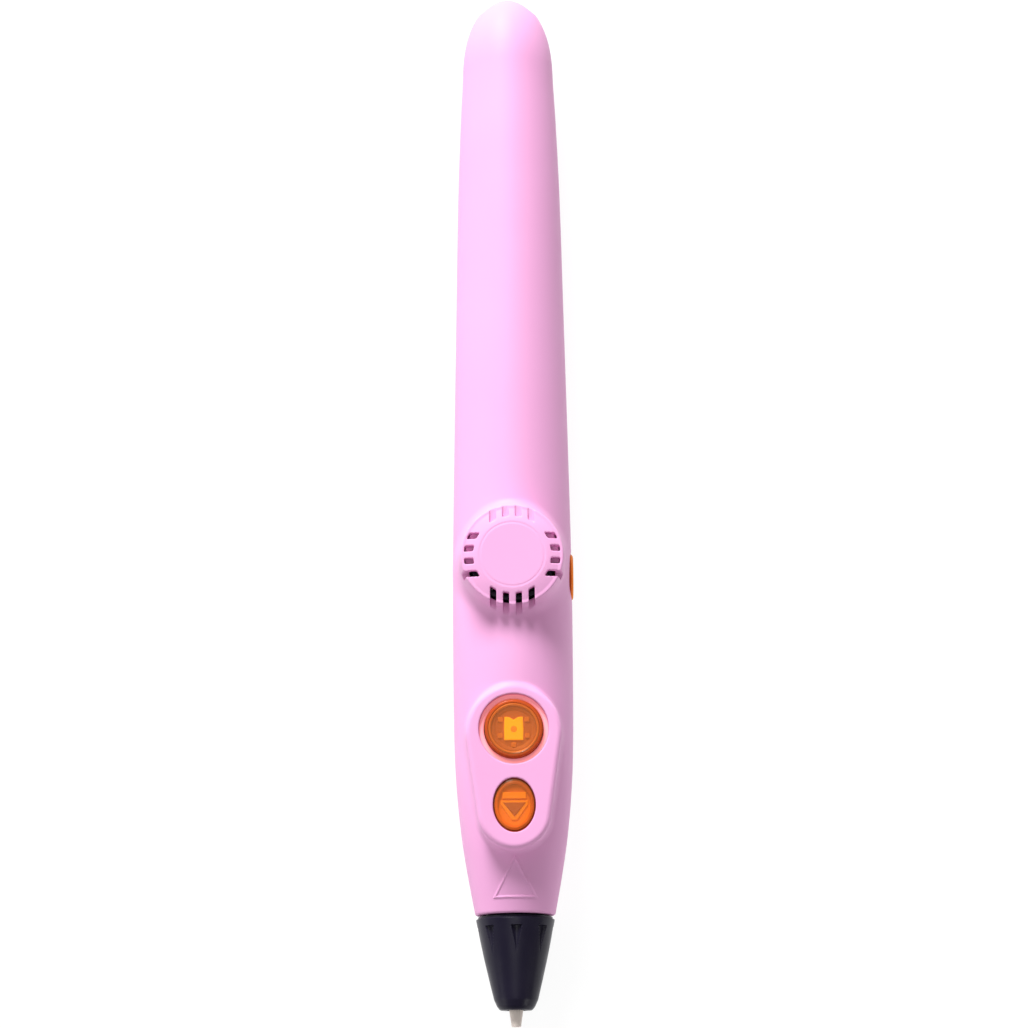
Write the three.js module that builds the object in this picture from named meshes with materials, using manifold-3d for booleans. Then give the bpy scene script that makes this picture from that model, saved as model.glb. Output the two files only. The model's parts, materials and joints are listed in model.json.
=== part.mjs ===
// A pen-shaped 3-D printing tool: two shells around a heated nozzle, a filament drive, a fan,
// a cell and two circuit boards. Millimetres. The pen lies on its back: +X is its right side,
// -Y its nozzle, +Y its tail and +Z its front. Stations run along it from nozzle to tail, with
// half of LENGTH at the frame's origin.
import * as THREE from "three";
import { mergeVertices } from "three/addons/utils/BufferGeometryUtils.js";
import Module from "manifold-3d";

const wasm = await Module();
wasm.setup();

// ---- Driving dimensions ----
const LENGTH = 180;
const WALL = 1.6;
const GAP = 0.3;
const PARTING_Z = 9;
const NOZZLE_Z = 8;
const TAIL_START = 166;
const TAIL_FULLNESS = 2.2;

// Body lines as [station, value]: half width, front line, level of the widest line, back line,
// and how square the back half of the section is (2 is an ellipse).
const HALF_WIDTH = [
  [18, 6.66], [24, 7.78], [30, 8.75], [37, 9.5], [44, 9.92], [56, 10.1], [76, 10.1],
  [99, 9.74], [121, 9.31], [143, 8.87], [157, 8.35], [166, 7.92], [180, 7.7],
];
const FRONT_LINE = [
  [18, 14.85], [30, 18.1], [40, 20.1], [52, 21.5], [65, 22], [85, 22], [120, 20.9],
  [150, 19.4], [166, 18.3], [180, 17.4],
];
const WIDEST_LINE = [[18, 8], [30, 8.7], [45, 9.6], [60, 10], [150, 10], [166, 9.7], [180, 9.4]];
const BACK_LINE = [[18, 1.15], [24, 0.5], [30, 0.1], [40, -0.5], [150, -0.5], [166, 0.2], [180, 1.4]];
const BACK_SQUARENESS = [[18, 2], [40, 2.5], [150, 2.5], [180, 2.2]];
const BODY_STATIONS = [
  18, 21, 25, 30, 36, 43, 51, 60, 72, 88, 106, 124, 142, 156, 166, 171, 174.5, 177, 178.7, 179.9,
];

// Buttons and the raised island that holds two of them
const FEED_BUTTON = { station: 47.5, radius: 5.1, top: 22.2, recess: 5.9 };
const RETRACT_BUTTON = { station: 35, halfWidth: 3.35, halfLength: 4.25, top: 21.5 };
const SIDE_BUTTON = { station: 75, z: 10, radius: 4.05, top: 10.35 };
const ISLAND = { upper: 47, upperRadius: 7.95, lower: 33.8, lowerRadius: 6.05, top: 21.1, slope: 0.045 };

// Fan housing
const FAN = { station: 76, radius: 9.05, top: 25.6, opening: 7.6 };
const SLOT = { pitch: 2.12, width: 1.02, from: 6.35, lowAtEnds: 22.9, lowAtSides: 20.6 };

// Drive: the filament runs along x = 0 at NOZZLE_Z between the knurled wheel and the idler.
const WHEEL = { x: -2.95, station: 38, radius: 2.15 };
const IDLER = { x: 3.2, station: 38, radius: 2.5 };
const LEVER_PIVOT = { x: 4.6, station: 46 };
const SHAFT_Z = 11.9;
const SHAFT_RADIUS = 0.72;
const PIN_HOLE = 0.95;
const GEAR = { teeth: 12, pitchRadius: 2.4, addendum: 0.3, dedendum: 0.45, face: 0.66 };
const MOTOR = { radius: 4, gearbox: 54.5, can: 63.8, end: 79.5 };

// Boards
const BOARD_Z = 15;
const BOARD_THICKNESS = 0.9;
const BOARD_TOP = BOARD_Z + BOARD_THICKNESS;
const SWITCH_TOP = BOARD_TOP + 1.6;

const CELL = { from: 92, to: 136, radius: 5, z: 12.9 };
const INLET = { z: 6.2, radius: 2, bore: 1.1, end: 179 };
const USB = { from: 169.4, to: 176.4, z: 11, halfWidth: 4.4, halfHeight: 1.55, shell: 0.3, mouth: 0.35 };

// Case screws as [x, station], with their bore, the counterbore for the head, and the bosses
const SCREWS = [[-4.4, 27.5], [4.4, 27.5], [-4.7, 143], [4.7, 143]];
const SCREW = { bore: 0.95, counterbore: 1.95, headZ: 3, bossFront: 2, bossRear: 2.3 };

// ---- Materials ----
const paint = (color, roughness, metalness = 0) =>
  new THREE.MeshStandardMaterial({ color, roughness, metalness });
const PINK = 0xf7c4ea;
const ORANGE = 0xd9731f;
const CHARCOAL = 0x26242f;
const CERAMIC = 0xcdc4bb;
const STEEL = 0xb9bcc0;
const BRASS = 0xc9a14a;
const WHITE_PLASTIC = 0xe9e6e0;
const BOARD_GREEN = 0x1f6b43;

// ---- Tools ----
const along = (station) => station - LENGTH / 2;

function solid(geometry) {
  const bare = geometry.index ? geometry.toNonIndexed() : geometry.clone();
  bare.deleteAttribute("normal");
  bare.deleteAttribute("uv");
  const merged = mergeVertices(bare, 1e-4);
  const vertProperties = merged.attributes.position.array;
  const triVerts = new Uint32Array(merged.index.array);
  return new wasm.Manifold(new wasm.Mesh({ numProp: 3, vertProperties, triVerts }));
}

function geometryOf(manifold) {
  const mesh = manifold.getMesh();
  const geometry = new THREE.BufferGeometry();
  geometry.setAttribute("position", new THREE.BufferAttribute(mesh.vertProperties, 3));
  geometry.setIndex(new THREE.BufferAttribute(mesh.triVerts, 1));
  geometry.computeVertexNormals();
  return geometry;
}

const joined = (...solids) => solids.reduce((all, next) => all.add(next));
const cut = (from, ...tools) => tools.reduce((left, tool) => left.subtract(tool), from);

function part(group, name, shape, material) {
  const geometry = shape.isBufferGeometry ? shape : geometryOf(shape);
  const mesh = new THREE.Mesh(geometry, material);
  mesh.name = name;
  group.add(mesh);
  return mesh;
}

function boxBetween(low, high) {
  const size = high.map((v, i) => v - low[i]);
  const geometry = new THREE.BoxGeometry(...size);
  geometry.translate(...low.map((v, i) => v + size[i] / 2));
  return geometry;
}

const block = (low, high) => solid(boxBetween(low, high));

// A turned piece from a profile of [radius, distance along the axis].
function turned(profile, axis, sides = 24) {
  const geometry = new THREE.LatheGeometry(profile.map((p) => new THREE.Vector2(...p)), sides);
  if (axis === "z") geometry.rotateX(Math.PI / 2);
  if (axis === "x") geometry.rotateZ(-Math.PI / 2);
  return geometry;
}

// A plain rod, and a round tube with a bore, along an axis.
const rod = (radius, from, to, axis, sides = 16) =>
  turned([[0, from], [radius, from], [radius, to], [0, to]], axis, sides);
const pipe = (bore, radius, from, to, axis, sides = 20) =>
  turned([[bore, from], [radius, from], [radius, to], [bore, to], [bore, from]], axis, sides);

const rodAt = (x, y, radius, from, to, sides) =>
  solid(rod(radius, from, to, "z", sides).translate(x, y, 0));

// A closed skin through rings of equal length, with a fan of triangles over each end.
function loft(rings) {
  const count = rings[0].length;
  const positions = rings.flat();
  const faces = [];
  for (let i = 0; i + 1 < rings.length; i++) {
    for (let j = 0; j < count; j++) {
      const a = i * count + j;
      const b = i * count + ((j + 1) % count);
      faces.push(a, b, b + count, a, b + count, a + count);
    }
  }
  for (const [ring, turn] of [[0, 1], [rings.length - 1, -1]]) {
    const middle = positions.length;
    const sum = rings[ring].reduce((total, p) => total.map((v, k) => v + p[k]), [0, 0, 0]);
    positions.push(sum.map((v) => v / count));
    for (let j = 0; j < count; j++) {
      const a = ring * count + j;
      const b = ring * count + ((j + 1) % count);
      faces.push(...(turn > 0 ? [middle, b, a] : [middle, a, b]));
    }
  }
  const geometry = new THREE.BufferGeometry();
  geometry.setAttribute("position", new THREE.Float32BufferAttribute(positions.flat(), 3));
  geometry.setIndex(faces);
  return geometry;
}

// A smooth curve through [station, value] points, flat past both ends.
function smooth(points, station) {
  const last = points.length - 1;
  if (station <= points[0][0]) return points[0][1];
  if (station >= points[last][0]) return points[last][1];
  const i = points.findIndex((p) => p[0] > station) - 1;
  const slope = (k) => {
    const a = points[Math.max(k - 1, 0)];
    const b = points[Math.min(k + 1, last)];
    return (b[1] - a[1]) / (b[0] - a[0]);
  };
  const [s0, v0] = points[i];
  const [s1, v1] = points[i + 1];
  const step = s1 - s0;
  const t = (station - s0) / step;
  const ease = t * t * (3 - 2 * t);
  return v0 + (v1 - v0) * ease
    + step * (slope(i) * t * (1 - t) ** 2 - slope(i + 1) * t * t * (1 - t));
}

// ---- Body ----
// One section of the body, its skin moved in by inset. Past TAIL_START it shrinks to a round end.
function bodySection(station, inset, sides) {
  const past = Math.max(station - TAIL_START, 0) / (LENGTH - TAIL_START - inset);
  const shrink = Math.sqrt(Math.max(1 - past ** TAIL_FULLNESS, 0));
  const half = (smooth(HALF_WIDTH, station) - inset) * shrink;
  const middle = smooth(WIDEST_LINE, station);
  const front = (smooth(FRONT_LINE, station) - inset - middle) * shrink;
  const back = (middle - smooth(BACK_LINE, station) - inset) * shrink;
  const power = 2 / smooth(BACK_SQUARENESS, station);
  const floor = Math.max(inset, 0);
  const ring = [];
  for (let i = 0; i < sides; i++) {
    const angle = (2 * Math.PI * (i + 0.5)) / sides;
    const c = Math.cos(angle);
    const s = Math.sin(angle);
    if (s > 0) ring.push([half * c, along(station), middle + front * s]);
    else {
      const x = half * Math.sign(c) * Math.abs(c) ** power;
      ring.push([x, along(station), Math.max(middle - back * Math.abs(s) ** power, floor)]);
    }
  }
  return ring.reverse();
}

function bodySolid(inset, sides, everyNth = 1, startShift = 0) {
  const scale = (LENGTH - TAIL_START - inset) / (LENGTH - TAIL_START);
  const kept = BODY_STATIONS.filter((_, i) => i % everyNth === 0 || i === BODY_STATIONS.length - 1);
  const stations = kept.map((s) => s > TAIL_START ? TAIL_START + (s - TAIL_START) * scale : s);
  stations[0] -= startShift;
  return solid(loft(stations.map((s) => bodySection(s, inset, sides))));
}

// The teardrop outline of the island, its edge moved in by inset.
function islandOutline(inset) {
  const { upper, upperRadius, lower, lowerRadius } = ISLAND;
  const lean = Math.asin((upperRadius - lowerRadius) / (upper - lower));
  const shape = new THREE.Shape();
  shape.absarc(0, along(upper), upperRadius - inset, -lean, Math.PI + lean, false);
  shape.absarc(0, along(lower), lowerRadius - inset, Math.PI + lean, 2 * Math.PI - lean, false);
  shape.closePath();
  return shape;
}

// The island stands on the body and its flat top falls gently towards the nozzle.
function islandSolid(inset, from) {
  const depth = ISLAND.top - inset - from;
  const geometry = new THREE.ExtrudeGeometry(islandOutline(inset), {
    depth, bevelEnabled: false, curveSegments: 12,
  });
  geometry.translate(0, -along(ISLAND.lower), from);
  geometry.applyMatrix4(new THREE.Matrix4().makeShear(0, 0, 0, ISLAND.slope, 0, 0));
  return solid(geometry.translate(0, along(ISLAND.lower), 0));
}

function ovalSolid(margin, from, to) {
  const shape = new THREE.Shape();
  const { station, halfWidth, halfLength } = RETRACT_BUTTON;
  shape.absellipse(0, along(station), halfWidth + margin, halfLength + margin, 0, 2 * Math.PI);
  const geometry = new THREE.ExtrudeGeometry(shape, {
    depth: to - from, bevelEnabled: false, curveSegments: 14,
  });
  return solid(geometry.translate(0, 0, from));
}

function sideButtonHole() {
  const { station, z, radius } = SIDE_BUTTON;
  return solid(rod(radius + GAP, 5, 14, "x", 28).translate(0, along(station), z));
}

const atScrews = (radius, from, to) =>
  SCREWS.map(([x, station]) => rodAt(x, along(station), radius, from, to, 16));

function usbOpening() {
  const { z, halfWidth, halfHeight, mouth } = USB;
  const x = halfWidth + mouth;
  const rise = halfHeight + mouth;
  return block([-x, along(172), z - rise], [x, along(182), z + rise]);
}

function frontShell(outer, inner) {
  const skin = joined(outer, islandSolid(0, 13));
  const hollow = joined(inner, islandSolid(WALL, 13));
  const bosses = atScrews(SCREW.bossFront, PARTING_Z, 13.5);
  const body = joined(cut(skin, hollow), ...bosses.map((b) => b.intersect(outer)));
  const feedY = along(FEED_BUTTON.station);
  return cut(
    body,
    block([-20, -100, -5], [20, 100, PARTING_Z + GAP / 2]),
    ...atScrews(SCREW.bore, PARTING_Z - 1, 12.6),
    rodAt(0, feedY, FEED_BUTTON.radius + GAP, 15, 25, 32),
    rodAt(0, feedY, FEED_BUTTON.recess, 21, 25, 32),
    ovalSolid(GAP, 15, 25),
    rodAt(0, along(FAN.station), FAN.opening, 14, 25, 32),
    sideButtonHole(),
    usbOpening(),
  );
}

function rearShell(outer, inner) {
  const bosses = atScrews(SCREW.bossRear, 0.5, PARTING_Z);
  const body = joined(cut(outer, inner), ...bosses.map((b) => b.intersect(outer)));
  return cut(
    body,
    block([-20, -100, PARTING_Z - GAP / 2], [20, 100, 40]),
    ...atScrews(SCREW.bore, -1, 12),
    ...atScrews(SCREW.counterbore, -1, SCREW.headZ),
    sideButtonHole(),
    solid(rod(INLET.radius + GAP, along(170), along(182), "y", 24).translate(0, 0, INLET.z)),
  );
}

function caseScrew(x, station) {
  const head = [[0, 3], [1.6, 3], [1.6, 2.5], [1.2, 1.9], [0, 1.8]];
  const body = solid(turned([[0, 11.8], [0.75, 11.3], [0.75, 3], ...head.slice(1)].reverse(), "z", 14));
  const slot = block([-2, -0.2, 1], [2, 0.2, 2.25]);
  return geometryOf(cut(body, slot)).translate(x, along(station), 0);
}

function buildCasing(group) {
  const outer = bodySolid(0, 30);
  const inner = bodySolid(WALL, 20, 2, 2);
  part(group, "front_shell", frontShell(outer, inner), paint(PINK, 0.5));
  part(group, "rear_shell", rearShell(outer, inner), paint(PINK, 0.5));
  SCREWS.forEach(([x, s], i) =>
    part(group, `case_screw_${i + 1}`, caseScrew(x, s), paint(STEEL, 0.35, 1)));
  const ferrule = pipe(INLET.bore, INLET.radius, 171.9, INLET.end, "y", 24);
  part(group, "inlet_ferrule", ferrule.translate(0, -LENGTH / 2, INLET.z), paint(STEEL, 0.4, 1));
}

// ---- Buttons ----
// Cap, hidden retaining flange and a short post, turned about Z.
function feedButton() {
  const { radius, top, station } = FEED_BUTTON;
  const profile = [
    [0, 18.3], [1.4, 18.3], [1.4, 18.9], [5.7, 18.9], [5.7, 19.6], [radius, 19.6],
    [radius, top - 0.5], [radius - 0.5, top], [0, top],
  ];
  return turned(profile, "z", 26).translate(0, along(station), 0);
}

function retractButton() {
  const { top, station } = RETRACT_BUTTON;
  const post = rodAt(0, along(station), 1.3, 18.3, 19, 14);
  return joined(ovalSolid(0, 18.7, top), ovalSolid(0.55, 18.6, 19.1), post);
}

function sideButton() {
  const { radius, top, station, z } = SIDE_BUTTON;
  const profile = [
    [0, 6.55], [4.5, 6.55], [4.5, 7.1], [radius, 7.1], [radius, top - 0.6], [radius - 0.7, top], [0, top],
  ];
  return turned(profile, "x", 28).translate(0, along(station), z);
}

function buildButtons(group) {
  part(group, "feed_button", feedButton(), paint(ORANGE, 0.25));
  part(group, "retract_button", retractButton(), paint(ORANGE, 0.25));
  part(group, "side_button", sideButton(), paint(ORANGE, 0.25));
}

// ---- Boards ----
// A small tact switch: a square body with a round well, and its plunger in the well.
function tactSwitch(halfX, halfY) {
  const body = block([-halfX, -halfY, BOARD_TOP + 0.05], [halfX, halfY, SWITCH_TOP]);
  return cut(body, rodAt(0, 0, 1.2, BOARD_TOP + 0.5, 20, 16));
}

function boardSwitch(group, name, station) {
  const y = along(station);
  const body = geometryOf(tactSwitch(1.6, 2)).translate(0, y, 0);
  const plunger = rod(0.95, BOARD_TOP + 0.9, SWITCH_TOP + 0.5, "z", 14).translate(0, y, 0);
  part(group, name, body, paint(WHITE_PLASTIC, 0.5));
  part(group, `${name}_plunger`, plunger, paint(BRASS, 0.4, 1));
}

function mainBoard() {
  const outline = new THREE.Shape();
  const [front, shoulder, rear] = [30, 46, 52].map(along);
  outline.moveTo(-2.4, front);
  outline.lineTo(2.4, front);
  outline.lineTo(5.9, shoulder);
  outline.lineTo(5.9, rear);
  outline.lineTo(-5.9, rear);
  outline.lineTo(-5.9, shoulder);
  outline.closePath();
  const geometry = new THREE.ExtrudeGeometry(outline, { depth: BOARD_THICKNESS, bevelEnabled: false });
  return geometry.translate(0, 0, BOARD_Z);
}

function sideSwitch(group) {
  const y = along(SIDE_BUTTON.station);
  const z = SIDE_BUTTON.z;
  part(group, "side_board", boxBetween([3.4, y - 4.8, 6], [4.2, y + 4.8, 14]), paint(BOARD_GREEN, 0.5));
  const well = solid(rod(1.6, 4.7, 7, "x", 18).translate(0, y, z));
  const body = cut(block([4.25, y - 3, z - 3], [5.9, y + 3, z + 3]), well);
  part(group, "side_switch", body, paint(CHARCOAL, 0.5));
  const plunger = rod(1.3, 5.1, 6.25, "x", 16).translate(0, y, z);
  part(group, "side_switch_plunger", plunger, paint(BRASS, 0.4, 1));
}

// A metal-shelled USB-C receptacle: a flat round-ended tube, closed at its back, with a tongue.
function usbSocket() {
  const { from, to, z, halfWidth, halfHeight, shell } = USB;
  const stadium = (reach, radius, start, end) => {
    const shape = new THREE.Shape();
    shape.absarc(reach - radius, 0, radius, -Math.PI / 2, Math.PI / 2, false);
    shape.absarc(radius - reach, 0, radius, Math.PI / 2, (3 * Math.PI) / 2, false);
    shape.closePath();
    const geometry = new THREE.ExtrudeGeometry(shape, {
      depth: end - start, bevelEnabled: false, curveSegments: 6,
    });
    return solid(geometry.rotateX(-Math.PI / 2).translate(0, along(start), z));
  };
  const shield = cut(
    stadium(halfWidth, halfHeight, from, to),
    stadium(halfWidth - shell, halfHeight - shell, from + 0.9, to + 1),
  );
  return joined(shield, block([-3.3, along(from + 0.4), z - 0.3], [3.3, along(to - 1), z + 0.3]));
}

function buildBoards(group) {
  part(group, "main_board", mainBoard(), paint(BOARD_GREEN, 0.5));
  boardSwitch(group, "feed_switch", FEED_BUTTON.station);
  boardSwitch(group, "retract_switch", RETRACT_BUTTON.station);
  const chip = boxBetween([-2, along(39.4), BOARD_TOP + 0.05], [2, along(43.4), BOARD_TOP + 0.95]);
  part(group, "control_chip", chip, paint(CHARCOAL, 0.4));
  const led = boxBetween([-0.8, along(50.2), BOARD_TOP + 0.05], [0.8, along(51.4), BOARD_TOP + 0.7]);
  part(group, "status_led", led, paint(0xffd27a, 0.3));
  sideSwitch(group);
  part(group, "charge_board", boxBetween([-5, along(150), 8.5], [5, along(172), 9.3]),
    paint(BOARD_GREEN, 0.5));
  const charger = boxBetween([-1.9, along(158), 9.35], [1.9, along(161), 10.5]);
  part(group, "charge_chip", charger, paint(CHARCOAL, 0.4));
  part(group, "usb_socket", usbSocket(), paint(STEEL, 0.35, 1));
}

// ---- Power ----
function buildCell(group) {
  const { from, to, radius, z } = CELL;
  const profile = [
    [0, from], [radius, from], [radius, to - 0.6], [radius - 0.6, to - 0.2], [2, to - 0.2], [2, to + 0.8],
    [0, to + 0.8],
  ];
  const place = (geometry) => geometry.translate(0, -LENGTH / 2, z);
  part(group, "battery_cell", place(turned(profile, "y", 28)), paint(0x3f74b8, 0.4));
  const strap = cut(
    solid(place(pipe(radius + 0.25, radius + 0.9, 108, 116, "y", 28))),
    block([-10, along(100), z + 2], [10, along(125), 30]),
  );
  part(group, "battery_cradle", strap, paint(WHITE_PLASTIC, 0.6));
}

// ---- Drive ----
// A mitre gear about +Y: teeth shrink towards the cone's apex at the origin. Its wide end is
// pitchRadius away from the apex, and a hub runs from there to hubEnd.
function mitreGear(phase, hubRadius, hubEnd, bore) {
  const { teeth, pitchRadius, addendum, dedendum, face } = GEAR;
  const tip = pitchRadius + addendum;
  const root = pitchRadius - dedendum;
  const [rootHalf, tipHalf] = [0.16, 0.065];
  const outline = [];
  for (let i = 0; i < teeth; i++) {
    const middle = phase + (2 * Math.PI * i) / teeth;
    outline.push([root, middle - rootHalf], [tip, middle - tipHalf]);
    outline.push([tip, middle + tipHalf], [root, middle + rootHalf]);
  }
  const ring = (scale) => outline.map(([r, angle]) =>
    [scale * r * Math.sin(angle), scale * pitchRadius, scale * r * Math.cos(angle)]);
  const toothed = solid(loft([ring(face), ring(1)]));
  const hub = solid(rod(hubRadius, pitchRadius - 0.1, hubEnd, "y", 18));
  return cut(joined(toothed, hub), solid(rod(bore, 0, hubEnd + 1, "y", 14)));
}

function feedWheel() {
  const shape = new THREE.Shape();
  const notches = 24;
  for (let i = 0; i < 2 * notches; i++) {
    const radius = i % 2 ? WHEEL.radius : WHEEL.radius - 0.22;
    const angle = (Math.PI * i) / notches;
    const point = [radius * Math.cos(angle), radius * Math.sin(angle)];
    if (i) shape.lineTo(...point);
    else shape.moveTo(...point);
  }
  shape.closePath();
  const geometry = new THREE.ExtrudeGeometry(shape, { depth: 2.1, bevelEnabled: false });
  const body = solid(geometry.translate(0, 0, 6.9));
  return cut(body, rodAt(0, 0, 0.9, 6, 10, 14));
}

function feedFrame() {
  const plate = block([-5.6, along(31.5), 4.2], [6, along(50.4), 5.4]);
  const frontWall = block([-4, along(31.5), 4.2], [4, along(33.3), 11]);
  const rearWall = block([-5.6, along(48.6), 4.2], [3, along(50.4), 14]);
  const through = (radius, from, to) => rod(radius, along(from), along(to), "y", 18);
  return cut(
    joined(plate, frontWall, rearWall),
    solid(through(1.7, 31, 34).translate(0, 0, NOZZLE_Z)),
    solid(through(2, 48, 51).translate(0, 0, NOZZLE_Z - 0.25)),
    solid(through(1.75, 48, 51).translate(WHEEL.x, 0, SHAFT_Z)),
    rodAt(WHEEL.x, along(WHEEL.station), PIN_HOLE, 4, 6, 14),
    rodAt(LEVER_PIVOT.x, along(LEVER_PIVOT.station), PIN_HOLE, 4, 6, 14),
  );
}

// A bar with round ends from the idler's pin to the pivot, cut open round the idler.
function idlerLever() {
  const shape = new THREE.Shape();
  const a = new THREE.Vector2(IDLER.x, along(IDLER.station));
  const b = new THREE.Vector2(LEVER_PIVOT.x, along(LEVER_PIVOT.station));
  const heading = b.clone().sub(a).angle();
  shape.absarc(b.x, b.y, 1.6, heading - Math.PI / 2, heading + Math.PI / 2, false);
  shape.absarc(a.x, a.y, 1.6, heading + Math.PI / 2, heading + (3 * Math.PI) / 2, false);
  shape.closePath();
  const bar = new THREE.ExtrudeGeometry(shape, { depth: 4.2, bevelEnabled: false, curveSegments: 8 });
  return cut(
    solid(bar.translate(0, 0, 5.8)),
    rodAt(a.x, a.y, IDLER.radius + 0.45, 6.55, 9.25, 24),
    rodAt(a.x, a.y, 0.8, 5, 11, 14),
    rodAt(b.x, b.y, PIN_HOLE, 5, 11, 14),
  );
}

// A torsion spring round the pivot pin: turns above the lever with one leg along it.
function idlerSpring() {
  const turns = 3;
  const pitch = 0.62;
  const points = [];
  for (let i = 0; i <= turns * 10; i++) {
    const angle = (2 * Math.PI * i) / 10;
    points.push(new THREE.Vector3(1.5 * Math.cos(angle), 1.5 * Math.sin(angle), (pitch * i) / 10));
  }
  points.push(new THREE.Vector3(1.5, 3.2, turns * pitch));
  const path = new THREE.CatmullRomCurve3(points);
  const wire = new THREE.Shape();
  wire.absarc(0, 0, 0.2, 0, 2 * Math.PI, false);
  return new THREE.ExtrudeGeometry(wire, {
    steps: 42, extrudePath: path, curveSegments: 3, bevelEnabled: false,
  }).translate(LEVER_PIVOT.x, along(LEVER_PIVOT.station), 10.4);
}

function buildMotor(group) {
  const y = -LENGTH / 2;
  const place = (geometry) => geometry.translate(WHEEL.x, y, SHAFT_Z);
  const { radius, gearbox, can, end } = MOTOR;
  const box = [
    [0, gearbox - 1], [1.5, gearbox - 1], [1.5, gearbox], [radius, gearbox], [radius, can - GAP],
    [0, can - GAP],
  ];
  const bore = solid(place(rod(1, gearbox - 2, gearbox + 1.2, "y", 16)));
  part(group, "gearbox", cut(solid(place(turned(box, "y"))), bore), paint(BRASS, 0.4, 1));
  const motor = [[0, can], [radius, can], [radius, end], [1.2, end], [1.2, end + 0.8], [0, end + 0.8]];
  part(group, "motor_can", place(turned(motor, "y")), paint(STEEL, 0.35, 1));
  const shaft = place(rod(SHAFT_RADIUS, WHEEL.station + 1.4, gearbox + 0.9, "y", 14));
  part(group, "motor_shaft", shaft, paint(STEEL, 0.25, 1));
  const bush = place(pipe(0.9, 1.55, 48.3, 50.7, "y", 18));
  part(group, "shaft_bush", bush, paint(BRASS, 0.35, 1));
  const pinion = geometryOf(mitreGear(Math.PI, 1.5, 5.2, 0.9));
  pinion.translate(WHEEL.x, along(WHEEL.station), SHAFT_Z);
  part(group, "drive_pinion", pinion, paint(BRASS, 0.35, 1));
}

function buildFeeder(group) {
  part(group, "feed_frame", feedFrame(), paint(WHITE_PLASTIC, 0.6));
  const wheelPlace = (geometry) => geometry.translate(WHEEL.x, along(WHEEL.station), 0);
  part(group, "feed_wheel", wheelPlace(geometryOf(feedWheel())), paint(STEEL, 0.3, 1));
  part(group, "feed_axle", wheelPlace(rod(SHAFT_RADIUS, 4.3, 11.1, "z", 14)), paint(STEEL, 0.25, 1));
  const halfTooth = Math.PI / GEAR.teeth;
  const gear = geometryOf(mitreGear(Math.PI + halfTooth, 1.5, 2.65, 0.9));
  gear.rotateX(-Math.PI / 2).translate(WHEEL.x, along(WHEEL.station), SHAFT_Z);
  part(group, "driven_gear", gear, paint(BRASS, 0.35, 1));
  part(group, "idler_lever", idlerLever(), paint(CHARCOAL, 0.5));
  const bearing = pipe(0.8, IDLER.radius, 6.8, 9, "z", 24);
  part(group, "idler_bearing", bearing.translate(IDLER.x, along(IDLER.station), 0), paint(STEEL, 0.25, 1));
  const idlerPin = rod(0.6, 5.6, 10.3, "z", 12).translate(IDLER.x, along(IDLER.station), 0);
  part(group, "idler_pin", idlerPin, paint(STEEL, 0.3, 1));
  const pivot = rod(SHAFT_RADIUS, 4.3, 12.6, "z", 14).translate(LEVER_PIVOT.x, along(LEVER_PIVOT.station), 0);
  part(group, "lever_pin", pivot, paint(STEEL, 0.3, 1));
  part(group, "idler_spring", idlerSpring(), paint(STEEL, 0.3, 1));
}

// ---- Filament guide and leads ----
// A round strand through [x, station, z] points.
function strand(points, radius, steps, sides) {
  const path = new THREE.CatmullRomCurve3(points.map(([x, s, z]) => new THREE.Vector3(x, along(s), z)));
  const section = new THREE.Shape();
  section.absarc(0, 0, radius, 0, 2 * Math.PI, false);
  return new THREE.ExtrudeGeometry(section, {
    steps, extrudePath: path, curveSegments: sides, bevelEnabled: false,
  });
}

const GUIDE_ROUTE = [
  [0, 41, 8], [0, 46, 7.98], [0, 54.5, 6.95], [0, 64, 5.7], [0, 80, 5.3], [0, 110, 5.2], [0, 150, 5.5],
  [0, 171.6, INLET.z],
];

function buildGuide(group) {
  const outer = solid(strand(GUIDE_ROUTE, 1.5, 18, 5));
  const [first, last] = [GUIDE_ROUTE[0], GUIDE_ROUTE.at(-1)];
  const longer = [[0, first[1] - 1, first[2]], ...GUIDE_ROUTE.slice(1, -1), [0, last[1] + 1, last[2]]];
  const bore = solid(strand(longer, 1, 18, 4));
  part(group, "guide_tube", cut(outer, bore), paint(0xf2f2ee, 0.4));
}

// Out of the motor's back, up and forwards over it to the rear edge of the main board.
const motorLeadRoute = (x) => [
  [x, 80.9, 11.9], [x, 82.6, 13.6], [x, 82.2, 15.6], [x, 80, 16.5], [x, 68, 16.6], [x, 54, 16.6],
  [x, 52.6, 15.6],
];

const LEAD_ROUTES = {
  power_lead_red: [
    [1, 149.6, 8.9], [1.2, 142, 10.6], [4.4, 138.4, 11], [6.2, 133, 10], [6.5, 112, 10], [6.4, 92, 9],
    [5.2, 84, 4.4], [5, 70, 3.9], [5.4, 61, 6.5], [5, 55, 12.5], [4.2, 52.7, 15.3],
  ],
  power_lead_black: [
    [-1, 149.6, 8.9], [-1.2, 142, 10.6], [-4.4, 138.4, 11], [-6.2, 133, 10], [-6.5, 112, 10], [-6.6, 92, 8.4],
    [-7.3, 80, 7], [-7.5, 60, 7], [-7.6, 55.4, 8], [-7.3, 53.5, 9.6], [-5.8, 52.8, 12.8], [-4.2, 52.6, 15.3],
  ],
  motor_lead_red: motorLeadRoute(-1.8),
  motor_lead_black: motorLeadRoute(-4.1),
  heater_lead_a: [[-2.2, 22.7, 9], [-1.5, 25, 10.6], [-1.3, 28, 13], [-1.3, 29.9, 14.3]],
  heater_lead_b: [[2.2, 22.7, 9], [1.5, 25, 10.6], [1.3, 28, 13], [1.3, 29.9, 14.3]],
};

const LEAD_RADIUS = 0.42;
const LEAD_COLORS = { black: 0x1c1c1e, red: 0xb3261e };
const LEAD_WHITE = 0xe8e4da;

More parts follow.
